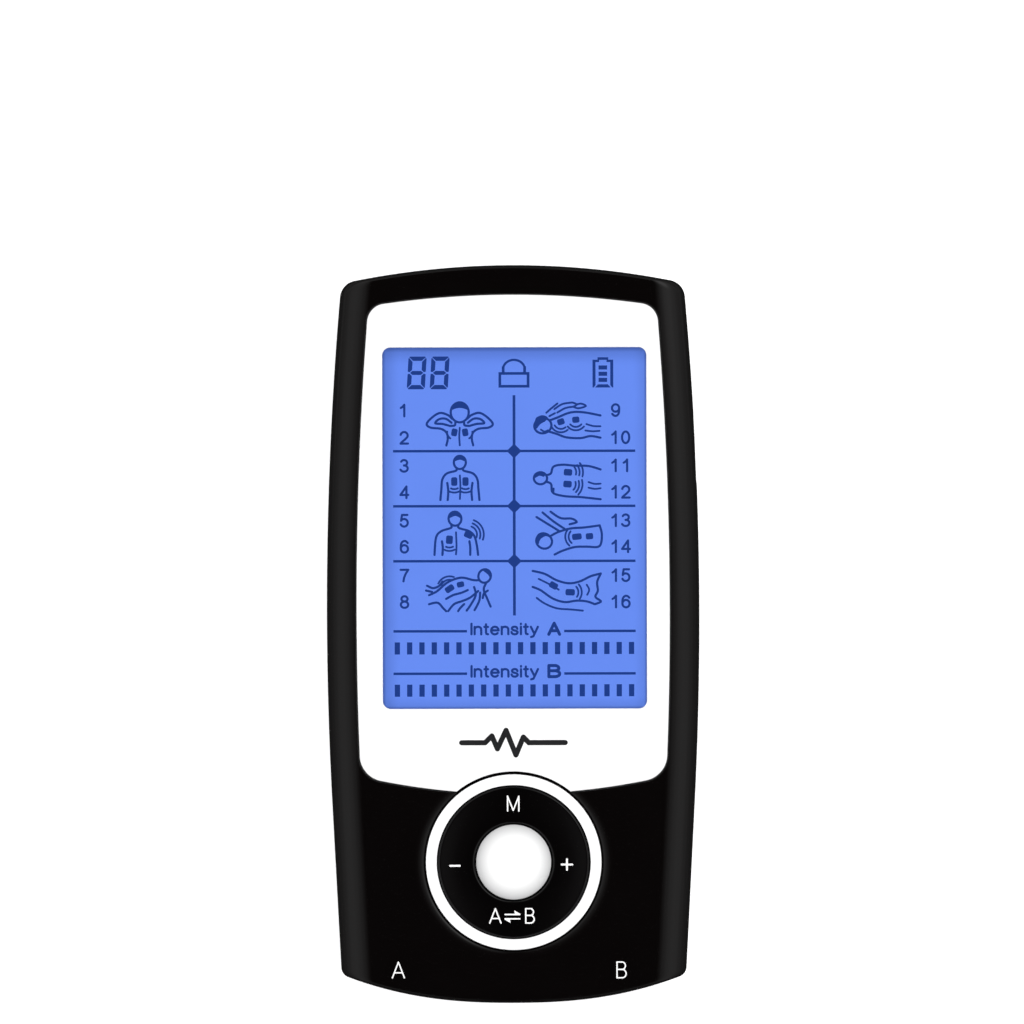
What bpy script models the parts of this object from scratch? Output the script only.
"""Hand-held two-channel nerve stimulator (TENS unit), as an assembly of separate pieces.

Frame: +Z is the way the display faces, +Y runs along the unit towards its top end, +X to the right of the display.
The origin is on the rear face, in the middle of the unit's width and length, so the unit lies on its back at z = 0.
All the numbers below are millimetres; put_mesh() turns them into metres.
"""

import math

import bmesh
import bpy
from mathutils import Vector

for old in list(bpy.data.objects):
    bpy.data.objects.remove(old, do_unlink=True)

MM = 0.001

# ---------------------------------------------------------------- driving dimensions, in mm
LENGTH = 120.0  # top end to bottom end
HALF_W = 30.3  # half the width at the widest place
WIDEST_Y = 3.5
SIDE_R = 587.0  # the sides are long arcs that run into straight tapers below TAPER_Y
TAPER_Y = -27.1
TOP_R = 131.4  # bow of the top end
BOTTOM_BOW = 0.001567  # the bottom end is y = BOTTOM_BOW * |x| ** BOTTOM_POWER
BOTTOM_POWER = 2.4
TOP_CORNER_R, BOTTOM_CORNER_R = 2.9, 1.7

FACE_Z = 11.6  # flat front face of the casing
PART_Z = 6.0  # where the two halves of the casing meet
SEAM = 0.1  # gap between the halves
RAIL_W = 5.0  # width of the rounded rail down each side
RAIL_DROP = 3.2  # how far the rail falls from the face to the side wall
END_ROUND = 0.7  # how far the ends round over, front half
REAR_ROUND_Z = 4.6  # height of the rear half's rounding
REAR_END_ROUND = 1.2
WALL = 1.5
FLOOR = 1.4
FACE_UNDER_Z = 9.35  # underside of the front wall

PANEL_HALF_W = 25.45
PANEL_WIDEST_Y = 3.9
PANEL_SIDE_R = 606.0
PANEL_TOP_Y, PANEL_TOP_R = 55.48, 120.0
PANEL_BOTTOM_Y, PANEL_BOTTOM_R = -26.28, 108.0
PANEL_TOP_CORNER, PANEL_BOTTOM_CORNER = 2.45, 4.0
PANEL_TOP_Z, PANEL_UNDER_Z = 11.5, 10.55
PANEL_GAP = 0.12

SCREEN_W, SCREEN_H = 42.7, 58.66
SCREEN_Y = 17.24
SCREEN_R = 1.3

KEY_Y = -37.0  # centre of the round control
TRIM_OUT, TRIM_IN = 14.25, 12.5
TRIM_TOP_Z, TRIM_UNDER_Z = 11.75, 10.95
KEY_WELL_R = 14.6
KEY_HOLE_R = 13.8
PANEL_CUT_R = 14.72
RING_OUT, RING_IN = 12.3, 6.35
FLANGE_R = 13.4
BUTTON_R = 6.08
CROWN_Z = 12.2
PIVOT_Z = 9.2  # height of the control ring's two tilt axes
KEY_REACH = 9.6  # from the control's centre to each of its four switches
ROUND = 56  # sides of the large round pieces

BOARD_UNDER_Z, BOARD_TOP_Z = 4.55, 5.55
PLUNGER_TOP_Z = 8.1
FOOT_Z = 8.18

TOP_BOSS = (20.0, 53.2)
LOW_BOSS = (20.8, -43.2)
BOARD_POST = (21.5, -21.0)
JACK_X, JACK_Z = 18.1, 6.0
KNOB_Y = 30.0
KNOB_TRAVEL = 2.0

# ---------------------------------------------------------------- outlines


def side_x(y):
    """Half width of the casing at y."""
    if y >= TAPER_Y:
        return HALF_W - (y - WIDEST_Y) ** 2 / (2 * SIDE_R)
    slope = (WIDEST_Y - TAPER_Y) / SIDE_R
    return HALF_W - (TAPER_Y - WIDEST_Y) ** 2 / (2 * SIDE_R) - slope * (TAPER_Y - y)


def top_y(x):
    return LENGTH / 2 - x * x / (2 * TOP_R)


def bottom_y(x):
    return -LENGTH / 2 + BOTTOM_BOW * abs(x) ** BOTTOM_POWER


def panel_side(y):
    return PANEL_HALF_W - (y - PANEL_WIDEST_Y) ** 2 / (2 * PANEL_SIDE_R)


def panel_top(x):
    return PANEL_TOP_Y - x * x / (2 * PANEL_TOP_R)


def panel_bottom(x):
    return PANEL_BOTTOM_Y + x * x / (2 * PANEL_BOTTOM_R)


def slope_of(f, at):
    return (f(at + 0.01) - f(at - 0.01)) / 0.02


def fillet(side, end, r, up):
    """Centre and end angles of the arc of radius r that runs from the side curve x = side(y) into the end curve y = end(x)."""
    cx, cy = side(0) - r, end(20) - up * r
    for _ in range(40):
        cx = side(cy) - r * math.hypot(1, slope_of(side, cy))
        cy = end(cx) - up * r * math.hypot(1, slope_of(end, cx))
    on_side = math.atan2(-slope_of(side, cy), 1)
    on_end = math.atan2(up, -up * slope_of(end, cx))
    return cx, cy, on_side, on_end


def outline(side, top, low, r_top, r_low, n_end=6, n_corner=4, n_side=9):
    """Points of a closed outline that is the same on the left and the right, anticlockwise from the middle of its lower edge."""
    lx, ly, l_side, l_end = fillet(side, low, r_low, -1)
    tx, ty, t_side, t_end = fillet(side, top, r_top, 1)
    right = []
    reach = lx + r_low * math.cos(l_end)
    right += [(reach * i / n_end, low(reach * i / n_end)) for i in range(n_end)]
    for i in range(n_corner + 1):
        a = l_end + (l_side - l_end) * i / n_corner
        right.append((lx + r_low * math.cos(a), ly + r_low * math.sin(a)))
    y0, y1 = ly + r_low * math.sin(l_side), ty + r_top * math.sin(t_side)
    right += [(side(y0 + (y1 - y0) * i / n_side), y0 + (y1 - y0) * i / n_side) for i in range(1, n_side)]
    for i in range(n_corner + 1):
        a = t_side + (t_end - t_side) * i / n_corner
        right.append((tx + r_top * math.cos(a), ty + r_top * math.sin(a)))
    reach = tx + r_top * math.cos(t_end)
    right += [(reach * i / n_end, top(reach * i / n_end)) for i in range(n_end - 1, -1, -1)]
    return right + [(-x, y) for x, y in right[-2:0:-1]]


def casing_outline(s, e, **counts):
    """The casing's outline, set in by s at the sides and by e at the ends. Its corners tighten as it goes in over the rail."""
    share = min(1.0, s / RAIL_W)
    return outline(
        lambda y: side_x(y) - s,
        lambda x: top_y(x) - e,
        lambda x: bottom_y(x) + e,
        TOP_CORNER_R * (1 - 0.75 * share),
        BOTTOM_CORNER_R * (1 - 0.6 * share),
        **counts,
    )


def panel_outline(grow=0.0):
    return outline(
        lambda y: panel_side(y) + grow,
        lambda x: panel_top(x) + grow,
        lambda x: panel_bottom(x) - grow,
        PANEL_TOP_CORNER + grow,
        PANEL_BOTTOM_CORNER + grow,
    )


def round_rect(w, h, r, cx=0.0, cy=0.0, n=4):
    """Anticlockwise rounded rectangle."""
    points = []
    for qx, qy, start in ((1, -1, -90), (1, 1, 0), (-1, 1, 90), (-1, -1, 180)):
        for i in range(n + 1):
            a = math.radians(start + 90 * i / n)
            points.append((cx + qx * (w / 2 - r) + r * math.cos(a), cy + qy * (h / 2 - r) + r * math.sin(a)))
    return points


def circle(r, n, cx=0.0, cy=0.0):
    return [(cx + r * math.cos(2 * math.pi * i / n), cy + r * math.sin(2 * math.pi * i / n)) for i in range(n)]


# ---------------------------------------------------------------- meshes


class Shape:
    """Points in mm and faces. Several closed shapes may share one."""

    def __init__(self):
        self.points, self.faces = [], []

    def stack(self, rings):
        """Closed solid through rings of the same count, each a list of (x, y, z), from the lowest to the highest."""
        n, start = len(rings[0]), len(self.points)
        for ring in rings:
            self.points += [tuple(p) for p in ring]
        self.faces.append([start + i for i in range(n)][::-1])
        for k in range(len(rings) - 1):
            a, b = start + k * n, start + (k + 1) * n
            self.faces += [[a + i, a + (i + 1) % n, b + (i + 1) % n, b + i] for i in range(n)]
        top = start + (len(rings) - 1) * n
        self.faces.append([top + i for i in range(n)])
        return self

    def prism(self, flat, z0, z1):
        return self.stack([[(x, y, z0) for x, y in flat], [(x, y, z1) for x, y in flat]])

    def box(self, x0, x1, y0, y1, z0, z1):
        return self.prism([(x0, y0), (x1, y0), (x1, y1), (x0, y1)], z0, z1)

    def rod_y(self, x, z, r, y0, y1, n=24):
        """Cylinder along Y, from y0 up to y1."""
        ring = [(r * math.cos(2 * math.pi * i / n), r * math.sin(2 * math.pi * i / n)) for i in range(n)]
        return self.stack([[(x - a, y, z + b) for a, b in ring] for y in (y0, y1)])

    def rod_z(self, x, y, r, z0, z1, n=24):
        return self.prism(circle(r, n, x, y), z0, z1)

    def turned(self, profile, n, cx=0.0, cy=0.0):
        """Profile of (r, z) turned about a vertical axis. It is a closed loop, or it starts and ends on the axis.
        The profile runs up the outside: its material is on the axis side as z grows."""
        start = len(self.points)
        open_ends = profile[0][0] == 0 and profile[-1][0] == 0
        rows = []
        for r, z in profile:
            if r == 0:
                rows.append([len(self.points)])
                self.points.append((cx, cy, z))
            else:
                rows.append([len(self.points) + i for i in range(n)])
                self.points += [(cx + r * math.cos(2 * math.pi * i / n), cy + r * math.sin(2 * math.pi * i / n), z) for i in range(n)]
        pairs = list(zip(rows, rows[1:])) + ([] if open_ends else [(rows[-1], rows[0])])
        for a, b in pairs:
            for i in range(n):
                j = (i + 1) % n
                face = [a[i % len(a)], a[j % len(a)], b[j % len(b)], b[i % len(b)]]
                kept = [v for k, v in enumerate(face) if v not in face[:k]]
                if len(kept) > 2:
                    self.faces.append(kept)
        assert start < len(self.points)
        return self


def put_mesh(name, shape, at=(0.0, 0.0, 0.0)):
    """An object whose origin is at the point at, in mm, with the shape's own points in the unit's frame."""
    mesh = bpy.data.meshes.new(name)
    mesh.from_pydata([((x - at[0]) * MM, (y - at[1]) * MM, (z - at[2]) * MM) for x, y, z in shape.points], [], shape.faces)
    bm = bmesh.new()
    bm.from_mesh(mesh)
    bmesh.ops.recalc_face_normals(bm, faces=bm.faces)
    bm.to_mesh(mesh)
    bm.free()
    obj = bpy.data.objects.new(name, mesh)
    obj.location = Vector(at) * MM
    bpy.context.scene.collection.objects.link(obj)
    return obj


unit = bpy.data.objects.new("tens_unit", None)
bpy.context.scene.collection.objects.link(unit)
materials = {}


def material(name, colour, roughness, metallic=0.0, alpha=1.0):
    m = bpy.data.materials.new(name)
    m.use_nodes = True
    shader = m.node_tree.nodes["Principled BSDF"]
    shader.inputs["Base Color"].default_value = (*colour, 1.0)
    shader.inputs["Roughness"].default_value = roughness
    shader.inputs["Metallic"].default_value = metallic
    shader.inputs["Alpha"].default_value = alpha
    materials[name] = m
    return m


def part(name, shape, colour, roughness=0.4, metallic=0.0, at=(0.0, 0.0, 0.0), parent=None, bevel=0.0, alpha=1.0):
    obj = put_mesh(name, shape, at)
    obj.data.materials.append(material(name, colour, roughness, metallic, alpha))
    holder = parent or unit
    obj.parent = holder
    obj.location = obj.location - holder.location
    if bevel:
        edge = obj.modifiers.new("edges", "BEVEL")
        edge.width = bevel * MM
        edge.segments = 1
        edge.limit_method = "ANGLE"
        edge.angle_limit = math.radians(50)
    obj.data.shade_smooth()
    obj.data.set_sharp_from_angle(angle=math.radians(35))
    return obj


def joint_empty(name, at):
    e = bpy.data.objects.new(name, None)
    e.location = Vector(at) * MM
    e.parent = unit
    e.empty_display_size = 3 * MM
    bpy.context.scene.collection.objects.link(e)
    return e


def cutter(name, shape):
    obj = put_mesh("cut_" + name, shape)
    obj.hide_render = True
    obj.display_type = "WIRE"
    obj.parent = unit
    return obj


def cut(target, *cutters, operation="DIFFERENCE"):
    for c in cutters:
        m = target.modifiers.new(c.name, "BOOLEAN")
        m.operation = operation
        m.solver = "EXACT"
        m.object = c


BLACK = (0.012, 0.011, 0.011)
WHITE = (0.86, 0.86, 0.86)
STEEL = (0.6, 0.6, 0.58)
BRASS = (0.75, 0.56, 0.25)

# ---------------------------------------------------------------- openings that both halves of the casing share
jack_holes = cutter(
    "jack_holes",
    Shape().rod_y(-JACK_X, JACK_Z, 2.6, -64, -54.6, 28).rod_y(JACK_X, JACK_Z, 2.6, -64, -54.6, 28),
)
usb_hole = cutter(
    "usb_hole",
    Shape().stack([[(-x, y, z) for x, z in round_rect(8.5, 4.7, 0.7, 0, 6.0, 3)] for y in (56.5, 64)]),
)
knob_slot = cutter("knob_slot", Shape().box(27.5, 31, KNOB_Y - 4.75, KNOB_Y + 4.75, 5.15, 7.95))
knob_pocket = cutter(
    "knob_pocket",
    Shape().stack([[(x, KNOB_Y + a, 6.55 + b) for a, b in round_rect(13.4, 4.4, 2.0, 0, 0, 4)] for x in (28.85, 31.5)]),
)

# ---------------------------------------------------------------- front shell
LEVELS = [0, 24, 47, 69, 90]
rings = []
for z, s, e in [(PART_Z + SEAM, 0.0, 0.0)] + [
    (
        FACE_Z - RAIL_DROP + RAIL_DROP * math.sin(math.radians(a)),
        RAIL_W * (1 - math.cos(math.radians(a))),
        END_ROUND * (1 - math.cos(math.radians(a))),
    )
    for a in LEVELS
]:
    rings.append([(x, y, z) for x, y in casing_outline(s, e)])
front_shell = part("front_shell", Shape().stack(rings), BLACK, 0.25)

cavity = cutter("front_cavity", Shape().prism(casing_outline(WALL, WALL), 5.0, FACE_UNDER_Z))
rebate = cutter("front_rebate", Shape().prism(casing_outline(0.8, 0.8), 5.2, 7.1))
recess = cutter("panel_recess", Shape().prism(panel_outline(PANEL_GAP), 10.5, 13.0))
well = Shape().prism(circle(KEY_WELL_R, ROUND, 0, KEY_Y), 10.9, 13.2)
hole = Shape().prism(circle(KEY_HOLE_R, ROUND, 0, KEY_Y), 8.0, 12.6)
window = cutter("window_hole", Shape().prism(round_rect(44.4, 60.4, 1.8, 0, SCREEN_Y), 8.2, 12.7))
cut(front_shell, cavity, rebate)

bosses = Shape()
for sx in (-1, 1):
    bosses.rod_z(sx * TOP_BOSS[0], TOP_BOSS[1], 2.5, 4.5, 9.9, 20)
    bosses.rod_z(sx * LOW_BOSS[0], LOW_BOSS[1], 2.5, 4.5, 9.9, 20)
    bosses.rod_z(sx * BOARD_POST[0], BOARD_POST[1], 2.2, 5.65, 9.9, 20)
    bosses.box(*sorted((sx * 24.45, sx * 25.35)), -9.0, 19.0, 6.4, 9.8)
cut(front_shell, cutter("front_bosses", bosses), operation="UNION")
pilots = Shape()
for sx in (-1, 1):
    pilots.rod_z(sx * TOP_BOSS[0], TOP_BOSS[1], 0.98, 4.0, 8.5, 12)
    pilots.rod_z(sx * LOW_BOSS[0], LOW_BOSS[1], 0.98, 4.0, 8.5, 12)
    pilots.rod_z(sx * BOARD_POST[0], BOARD_POST[1], 0.78, 5.0, 8.5, 12)
cut(front_shell, cutter("front_pilots", pilots))
cut(front_shell, recess, cutter("key_well", well), cutter("key_hole", hole), window)
cut(front_shell, jack_holes, usb_hole, knob_slot, knob_pocket)

# ---------------------------------------------------------------- rear cover
rings = []
for a in LEVELS[::-1]:
    c, q = 1 - math.cos(math.radians(a)), 1 - math.sin(math.radians(a))
    rings.append([(x, y, REAR_ROUND_Z * q) for x, y in casing_outline(RAIL_W * c, REAR_END_ROUND * c)])
rings.append([(x, y, PART_Z) for x, y in casing_outline(0, 0)])
rear_cover = part("rear_cover", Shape().stack(rings), BLACK, 0.45)
cut(rear_cover, cutter("rear_lip", Shape().prism(casing_outline(0.95, 0.95), 5.0, 7.0)), operation="UNION")
rings = []
for a in (90, 65, 40, 20, 0):
    c, q = 1 - math.cos(math.radians(a)), 1 - math.sin(math.radians(a))
    rings.append([(x, y, FLOOR + 3.2 * q) for x, y in casing_outline(WALL + 3.5 * c, WALL + 1.2 * c)])
rings.append([(x, y, 8.0) for x, y in casing_outline(WALL, WALL)])
cut(rear_cover, cutter("rear_cavity", Shape().stack(rings)))
posts = Shape()
for sx in (-1, 1):
    posts.rod_z(sx * TOP_BOSS[0], TOP_BOSS[1], 2.7, 0.9, 4.4, 20)
    posts.rod_z(sx * LOW_BOSS[0], LOW_BOSS[1], 2.7, 0.9, 4.4, 20)
    posts.box(*sorted((sx * 17.3, sx * 18.2)), -2.0, 42.0, 0.9, 3.0)
cut(rear_cover, cutter("rear_posts", posts), operation="UNION")
sinks, bores = Shape(), Shape()
for sx in (-1, 1):
    for bx, by in (TOP_BOSS, LOW_BOSS):
        sinks.rod_z(sx * bx, by, 2.2, -1.0, 1.6, 20)
        bores.rod_z(sx * bx, by, 1.2, 0.5, 5.0, 12)
cut(rear_cover, cutter("screw_sinks", sinks), cutter("screw_bores", bores))
cut(rear_cover, cutter("label_recess", Shape().prism(round_rect(36.4, 44.4, 1.7, 0, 8.0), -1.0, 0.2)))
cut(rear_cover, jack_holes, usb_hole, knob_slot, knob_pocket)

part("rating_label", Shape().prism(round_rect(36.0, 44.0, 1.5, 0, 8.0), 0.03, 0.15), (0.62, 0.63, 0.64), 0.5, at=(0, 8.0, 0))

# ---------------------------------------------------------------- face panel, lens, gasket
face_panel = part("face_panel", Shape().prism(panel_outline(), PANEL_UNDER_Z, PANEL_TOP_Z), WHITE, 0.25)
cut(
    face_panel,
    cutter("panel_window", Shape().prism(round_rect(SCREEN_W, SCREEN_H, SCREEN_R, 0, SCREEN_Y), 9.7, 12.3)),
    cutter("panel_round", Shape().prism(circle(PANEL_CUT_R, ROUND, 0, KEY_Y), 9.8, 12.4)),
)
part(
    "display_lens",
    Shape().prism(round_rect(44.1, 60.1, 1.7, 0, SCREEN_Y), 9.5, 10.43),
    (0.9, 0.93, 0.95), 0.05, at=(0, SCREEN_Y, 9.5), alpha=0.35,
)
gasket = part("display_gasket", Shape().prism(round_rect(46.0, 62.0, 1.0, 0, SCREEN_Y), 9.02, 9.3), (0.03, 0.03, 0.03), 0.95, at=(0, SCREEN_Y, 9.0))
cut(gasket, cutter("gasket_window", Shape().prism(round_rect(43.9, 59.9, 1.5, 0, SCREEN_Y), 8.5, 9.8)))

# ---------------------------------------------------------------- round control
part(
    "trim_ring",
    Shape().turned(
        [(TRIM_IN, TRIM_UNDER_Z), (TRIM_OUT, TRIM_UNDER_Z), (TRIM_OUT, TRIM_TOP_Z - 0.15), (TRIM_OUT - 0.15, TRIM_TOP_Z),
         (TRIM_IN + 0.15, TRIM_TOP_Z), (TRIM_IN, TRIM_TOP_Z - 0.15)], ROUND, 0, KEY_Y,
    ),
    WHITE, 0.25, at=(0, KEY_Y, TRIM_UNDER_Z),
)

ring_pivot = joint_empty("control_ring_pivot", (0, KEY_Y, PIVOT_Z))
cushion = part(
    "key_cushion",
    Shape().turned([(7.4, 8.95), (13.2, 8.95), (13.2, 9.4), (7.4, 9.4)], 40, 0, KEY_Y),
    (0.35, 0.36, 0.37), 0.8, at=(0, KEY_Y, PIVOT_Z), parent=ring_pivot,
)
SIDES = {"mode": (0, 1), "channel": (0, -1), "plus": (1, 0), "minus": (-1, 0)}
holes, feet = Shape(), Shape()
for dx, dy in SIDES.values():
    holes.rod_z(KEY_REACH * dx, KEY_Y + KEY_REACH * dy, 1.8, 8.0, 10.2, 16)
    feet.rod_z(KEY_REACH * dx, KEY_Y + KEY_REACH * dy, 1.4, FOOT_Z, 10.2, 16)
cut(cushion, cutter("cushion_holes", holes))

control_ring = part(
    "control_ring",
    Shape().turned(
        [(RING_IN, 9.9), (FLANGE_R, 9.9), (FLANGE_R, 10.35), (RING_OUT, 10.35), (RING_OUT, 11.4), (RING_OUT - 0.4, 11.66),
         (9.4, 11.5), (RING_IN + 0.3, 11.4), (RING_IN, 11.15)],
        ROUND, 0, KEY_Y,
    ),
    BLACK, 0.2, at=(0, KEY_Y, PIVOT_Z), parent=ring_pivot,
)
cut(control_ring, cutter("ring_feet", feet), operation="UNION")

DOME = [(BUTTON_R * k, CROWN_Z - 0.95 * k**3.2) for k in (1.0, 0.93, 0.8, 0.6, 0.34)]
button_pivot = joint_empty("center_button_slide", (0, KEY_Y, FOOT_Z))
part(
    "center_button",
    Shape().turned(
        [(0, FOOT_Z), (1.6, FOOT_Z), (1.6, 9.2), (6.8, 9.2), (6.8, 9.58), (BUTTON_R, 9.58)] + DOME + [(0, CROWN_Z)],
        40, 0, KEY_Y,
    ),
    WHITE, 0.25, at=(0, KEY_Y, FOOT_Z), parent=button_pivot,
)

# ---------------------------------------------------------------- switches under the control
for side, (dx, dy) in {**SIDES, "start": (0, 0)}.items():
    x, y = KEY_REACH * dx, KEY_Y + KEY_REACH * dy
    body = part(
        "tact_switch_" + side, Shape().box(x - 2.3, x + 2.3, y - 2.3, y + 2.3, BOARD_TOP_Z + 0.05, 7.5),
        (0.02, 0.02, 0.02), 0.5, at=(x, y, BOARD_TOP_Z),
    )
    cut(body, cutter("plunger_room_" + side, Shape().turned([(0, 5.9), (1.75, 5.9), (1.75, 7.1), (1.15, 7.1), (1.15, 8.2), (0, 8.2)], 12, x, y)))
    slide = joint_empty("plunger_slide_" + side, (x, y, PLUNGER_TOP_Z))
    part(
        "plunger_" + side,
        Shape().turned([(0, 6.3), (1.5, 6.3), (1.5, 6.75), (1.0, 6.75), (1.0, PLUNGER_TOP_Z), (0, PLUNGER_TOP_Z)], 12, x, y),
        (0.55, 0.06, 0.04), 0.4, at=(x, y, PLUNGER_TOP_Z), parent=slide,
    )

# ---------------------------------------------------------------- display
part("lcd_front_glass", Shape().box(-23, 23, -16.8, 48.2, 8.15, 8.95), (0.5, 0.6, 0.8), 0.1, at=(0, SCREEN_Y, 8.5), alpha=0.6)
part("lcd_rear_glass", Shape().box(-23, 23, -13.8, 48.2, 7.35, 8.1), (0.3, 0.4, 0.9), 0.1, at=(0, SCREEN_Y, 7.7), alpha=0.8)
frame = part("lcd_frame", Shape().box(-24.2, 24.2, -18.2, 49.9, 5.7, 9.2), (0.8, 0.8, 0.78), 0.5, at=(0, SCREEN_Y, 5.7))
cut(
    frame,
    cutter("frame_glass", Shape().box(-23.2, 23.2, -17.0, 48.7, 8.12, 10.0)),
    cutter("frame_guide", Shape().box(-23.2, 23.2, -14.0, 48.7, 5.0, 9.6)),
    cutter("frame_strip", Shape().box(-22.4, 22.4, -16.7, -14.6, 4.8, 8.6)),
)
part("lcd_connector_strip", Shape().box(-22.2, 22.2, -16.5, -14.8, 5.62, 8.08), (0.75, 0.45, 0.5), 0.8, at=(0, -15.65, 5.6))
part("backlight_guide", Shape().box(-22.6, 22.6, -13.4, 47.3, 5.85, 7.25), (0.8, 0.88, 1.0), 0.3, at=(0, SCREEN_Y, 5.85))
for sx, side in ((-1, "left"), (1, "right")):
    part(
        "backlight_led_" + side, Shape().box(sx * 11 - 1.6, sx * 11 + 1.6, 47.45, 48.5, 5.65, 6.95),
        (0.85, 0.85, 0.6), 0.3, at=(sx * 11, 48.0, 5.6),
    )

# ---------------------------------------------------------------- main board
edge = [
    (-14.5, -55.4), (14.5, -55.4), (14.5, -46.3), (26.1, -46.3), (26.1, 50.1), (16.9, 50.1), (16.9, 55.2), (4.4, 55.2), (4.4, 49.95),
    (-4.4, 49.95), (-4.4, 55.2), (-16.9, 55.2), (-16.9, 50.1), (-26.1, 50.1), (-26.1, -46.3), (-14.5, -46.3),
]
board = part("main_board", Shape().prism(edge, BOARD_UNDER_Z, BOARD_TOP_Z), (0.02, 0.16, 0.07), 0.35, at=(0, 0, BOARD_UNDER_Z))
board_holes = Shape()
for sx in (-1, 1):
    board_holes.rod_z(sx * LOW_BOSS[0], LOW_BOSS[1], 2.9, 4.0, 6.2, 20)
    board_holes.rod_z(sx * BOARD_POST[0], BOARD_POST[1], 1.05, 4.0, 6.2, 12)
cut(board, cutter("board_holes", board_holes))

# ---------------------------------------------------------------- screws


def screw(name, x, y, z_head, head_r, head_h, shank_r, z_tip):
    """Countersunk-point screw driven upwards, with a cross recess in its head."""
    obj = part(
        name,
        Shape().turned(
            [(0, z_head), (head_r - 0.35, z_head), (head_r, z_head + 0.35), (head_r, z_head + head_h), (shank_r, z_head + head_h),
             (shank_r, z_tip - 0.9), (0, z_tip)], 14, x, y,
        ),
        STEEL, 0.35, 1.0, at=(x, y, z_head),
    )
    w, l, d = 0.26, head_r * 0.62, head_h * 0.6
    arms = Shape().prism([(x + a, y + b) for a, b in ((-l, -w), (-w, -w), (-w, -l), (w, -l), (w, -w), (l, -w), (l, w), (w, w), (w, l), (-w, l), (-w, w), (-l, w))], z_head - 0.5, z_head + d)
    cut(obj, cutter("drive_" + name, arms))


for n, (x, y) in enumerate([(-TOP_BOSS[0], TOP_BOSS[1]), TOP_BOSS, (-LOW_BOSS[0], LOW_BOSS[1]), LOW_BOSS], 1):
    screw(f"case_screw_{n}", x, y, 0.4, 1.95, 1.12, 0.9, 8.2)
for sx, side in ((-1, "left"), (1, "right")):
    screw("board_screw_" + side, sx * BOARD_POST[0], BOARD_POST[1], 3.5, 1.6, 0.98, 0.7, 8.1)

# ---------------------------------------------------------------- power and lock slide switch
case = part("slide_switch_case", Shape().box(24.5, 27.0, 25.4, 34.6, 5.6, 8.0), (0.5, 0.5, 0.48), 0.35, 1.0, at=(25.8, KNOB_Y, 5.6))
cut(case, cutter("lever_slot", Shape().box(25.3, 27.6, KNOB_Y - 2.9, KNOB_Y + 2.9, 6.2, 7.4)))
knob_slide = joint_empty("power_knob_slide", (28.3, KNOB_Y, 6.55))
part("slide_switch_lever", Shape().box(25.5, 28.2, KNOB_Y - 0.7, KNOB_Y + 0.7, 6.3, 7.3), (0.03, 0.03, 0.03), 0.5, at=(28.3, KNOB_Y, 6.55), parent=knob_slide, bevel=0.12)
knob = part(
    "power_knob", Shape().stack([[(x, KNOB_Y + a, 6.55 + b) for a, b in round_rect(5.0, 2.4, 0.5, 0, 0, 3)] for x in (27.4, 29.0)]),
    BLACK, 0.4, at=(28.3, KNOB_Y, 6.55), parent=knob_slide,
)
ribs = Shape()
for k in range(-2, 3):
    ribs.box(28.8, 29.25, KNOB_Y + k * 0.95 - 0.26, KNOB_Y + k * 0.95 + 0.26, 5.6, 7.5)
cut(knob, cutter("knob_skirt", Shape().box(27.2, 27.65, KNOB_Y - 4.8, KNOB_Y + 4.8, 4.75, 8.35)), cutter("knob_ribs", ribs), operation="UNION")
cut(knob, cutter("knob_socket", Shape().box(26.9, 28.32, KNOB_Y - 0.8, KNOB_Y + 0.8, 6.2, 7.4)))

# ---------------------------------------------------------------- output jacks, with their contacts
for sx, side in ((-1, "a"), (1, "b")):
    x = sx * JACK_X
    jack = part("output_jack_" + side, Shape().box(x - 3.0, x + 3.0, -55.7, -46.7, 3.4, 8.6), (0.02, 0.02, 0.02), 0.4, at=(x, -55.7, JACK_Z), bevel=0.3)
    cut(jack, cutter("jack_nose_" + side, Shape().rod_y(x, JACK_Z, 2.42, -57.7, -50.0, 28)), operation="UNION")
    cut(jack, cutter("jack_bore_" + side, Shape().rod_y(x, JACK_Z, 1.3, -60.0, -48.6, 20)))
    cx = x - sx * 1.7
    lug = Shape()
    side_view = [(-46.6, 5.62), (-44.6, 5.62), (-44.6, 5.9), (-46.3, 5.9), (-46.3, 7.4), (-46.6, 7.4)]
    lug.stack([[(cx + dx, y, z) for y, z in side_view] for dx in (-0.8, 0.8)])
    part("jack_contact_" + side, lug, BRASS, 0.3, 1.0, at=(cx, -46.6, 5.62))

# ---------------------------------------------------------------- charging socket


def usb_face(grow):
    w, h, c = 3.85 + grow, 1.95 + grow, 0.85
    return [(-w, h), (w, h), (w, -h + 1.55), (w - c, -h), (-w + c, -h), (-w, -h + 1.55)]


usb = part("usb_shell", Shape().stack([[(a, y, 6.0 + b) for a, b in usb_face(0)] for y in (50.3, 59.5)]), STEEL, 0.3, 1.0, at=(0, 59.5, 6.0))
cut(usb, cutter("usb_inside", Shape().stack([[(a, y, 6.0 + b) for a, b in usb_face(-0.33)] for y in (50.8, 61.0)])))
insert = part("usb_insert", Shape().box(-2.7, 2.7, 50.95, 53.6, 4.75, 7.3), (0.02, 0.02, 0.02), 0.5, at=(0, 53.0, 6.0))
cut(insert, cutter("usb_tongue", Shape().box(-2.3, 2.3, 52.0, 58.4, 5.75, 6.55)), operation="UNION")

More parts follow.
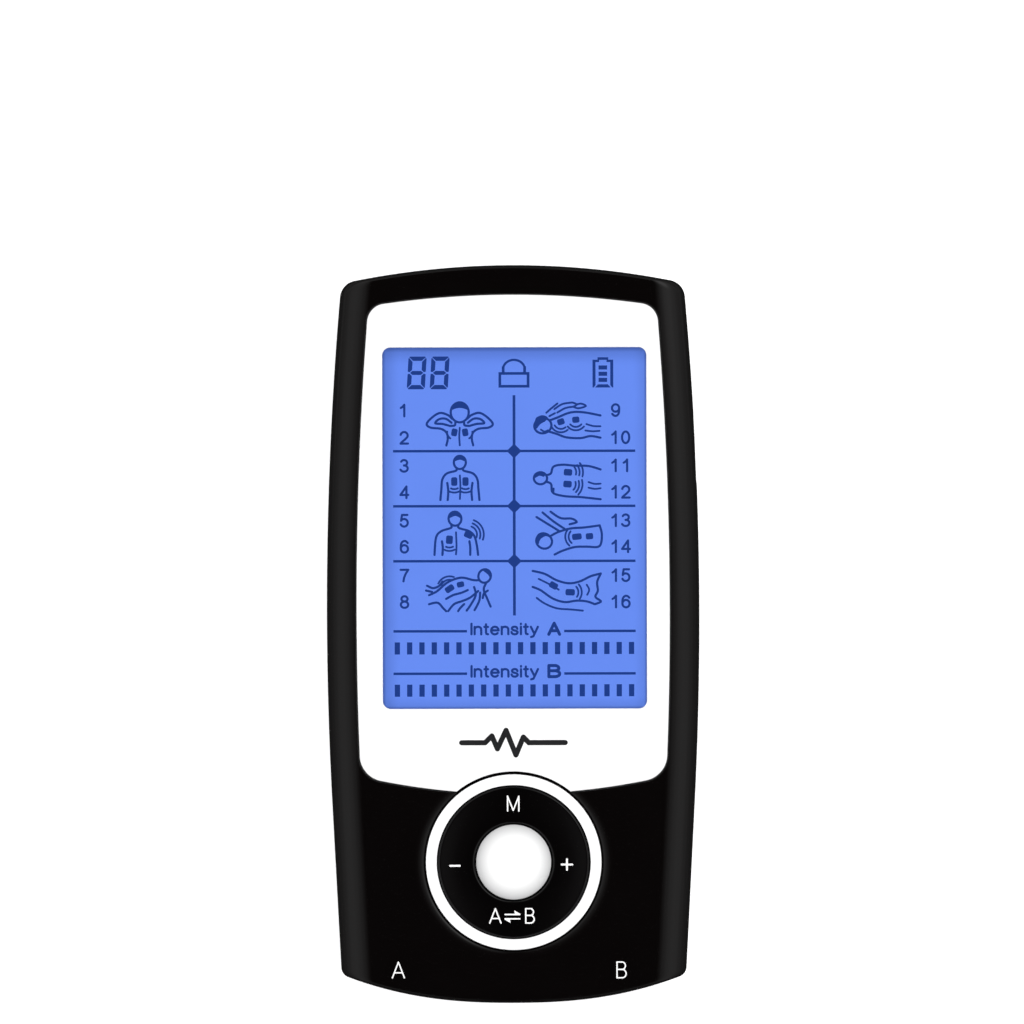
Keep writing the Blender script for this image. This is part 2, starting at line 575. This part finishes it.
# ---------------------------------------------------------------- battery
part("battery_pad", Shape().prism(round_rect(28, 40, 1.0, 0, 20.0), 1.45, 1.65), (0.85, 0.82, 0.7), 0.9, at=(0, 20.0, 1.45))
part("battery_cell", Shape().prism(round_rect(33.6, 50, 1.6, 0, 20.0), 1.7, 4.4), (0.72, 0.74, 0.76), 0.3, 0.6, at=(0, 20.0, 1.7), bevel=0.5)
part("battery_board", Shape().box(-14, 14, -8.4, -5.1, 2.4, 3.3), (0.02, 0.14, 0.06), 0.4, at=(0, -6.8, 2.4))


def lead(name, colour, route):
    """Round wire along a smooth curve through the route's own points."""
    points = []
    for i in range(len(route) - 1):
        p0, p1, p2, p3 = (Vector(route[min(max(i + k, 0), len(route) - 1)]) for k in (-1, 0, 1, 2))
        for j in range(3):
            t = j / 3
            points.append(0.5 * ((2 * p1) + (p2 - p0) * t + (2 * p0 - 5 * p1 + 4 * p2 - p3) * t * t + (3 * p1 - p0 - 3 * p2 + p3) * t**3))
    points.append(Vector(route[-1]))
    data = bpy.data.curves.new(name, "CURVE")
    data.dimensions = "3D"
    line = data.splines.new("POLY")
    line.points.add(len(points) - 1)
    for p, v in zip(line.points, points):
        p.co = (*(v * MM), 1)
    data.bevel_depth = 0.42 * MM
    data.bevel_resolution = 2
    data.use_fill_caps = True
    data.materials.append(material(name, colour, 0.5))
    obj = bpy.data.objects.new(name, data)
    obj.parent = unit
    bpy.context.scene.collection.objects.link(obj)


lead(
    "battery_lead_red", (0.55, 0.02, 0.02),
    [(-9.0, -8.8, 2.9), (-8.7, -10.4, 2.9), (-6.0, -12.0, 2.9), (-1.5, -11.9, 2.9), (2.4, -10.6, 2.9), (4.5, -10.6, 2.9), (5.2, -11.8, 2.9)],
)
lead(
    "battery_lead_black", (0.02, 0.02, 0.02),
    [(-5.5, -8.8, 2.9), (-4.4, -9.9, 2.9), (-1.0, -10.0, 2.8), (2.4, -9.35, 2.6), (5.4, -9.3, 2.7), (7.0, -10.2, 2.9), (7.2, -11.8, 2.9)],
)
socket = part("battery_socket", Shape().box(2.4, 10.0, -18.0, -12.9, 1.7, 4.45), (0.82, 0.8, 0.72), 0.5, at=(6.2, -15.5, 4.45))
cut(socket, cutter("socket_room", Shape().box(3.2, 9.2, -16.9, -11.0, 2.1, 4.05)))
part("battery_plug", Shape().box(3.4, 9.0, -16.6, -12.1, 2.2, 3.95), (0.85, 0.83, 0.76), 0.5, at=(6.2, -14.3, 3.1), bevel=0.2)

# ---------------------------------------------------------------- output transformers, one for each channel
for sx, side in ((-1, "a"), (1, "b")):
    x, y = sx * 21.0, -32.0
    core = part("transformer_%s_core" % side, Shape().box(x - 4.2, x + 4.2, y - 4.5, y + 4.5, 6.2, 8.6), (0.09, 0.09, 0.1), 0.6, at=(x, y, 6.2))
    cut(core, cutter("core_windows_" + side, Shape().box(x - 2.75, x - 1.2, y - 2.95, y + 2.95, 5.0, 9.7).box(x + 1.2, x + 2.75, y - 2.95, y + 2.95, 5.0, 9.7)))
    coil = part("transformer_%s_coil" % side, Shape().stack([[(x - a, yy, 7.4 + b) for a, b in round_rect(4.9, 3.5, 0.7, 0, 0, 3)] for yy in (y - 2.8, y + 2.8)]), (0.7, 0.3, 0.12), 0.35, 0.8, at=(x, y, 7.4))
    cut(coil, cutter("coil_room_" + side, Shape().box(x - 1.32, x + 1.32, y - 4.0, y + 4.0, 6.08, 8.72)))

# ---------------------------------------------------------------- components on the underside of the board
part("controller_chip", Shape().box(-4, 6, -38, -28, 3.05, 4.45), (0.025, 0.025, 0.028), 0.5, at=(1, -33, 4.45), bevel=0.15)
part("driver_chip", Shape().box(-15, -9.6, -38, -34, 3.0, 4.45), (0.025, 0.025, 0.028), 0.5, at=(-12.3, -36, 4.45), bevel=0.15)
part("boost_inductor", Shape().prism(round_rect(6.4, 6.4, 1.6, 14.5, -26, 3), 1.75, 4.45), (0.12, 0.12, 0.12), 0.7, at=(14.5, -26, 4.45))
for sx, side in ((-1, "a"), (1, "b")):
    x, y = sx * 7.5, -47.5
    part(
        "filter_capacitor_" + side,
        Shape().turned([(0, 1.75), (2.2, 1.75), (2.45, 2.0), (2.45, 3.7), (2.25, 3.85), (2.25, 4.05), (2.45, 4.2), (2.45, 4.45), (0, 4.45)], 20, x, y),
        (0.7, 0.7, 0.68), 0.3, 1.0, at=(x, y, 4.45),
    )
part("buzzer", Shape().turned([(0, 2.1), (0.9, 2.1), (0.9, 1.8), (5.1, 1.8), (5.4, 2.1), (5.4, 4.45), (0, 4.45)], 20, -14, -22), (0.03, 0.03, 0.03), 0.5, at=(-14, -22, 4.45))
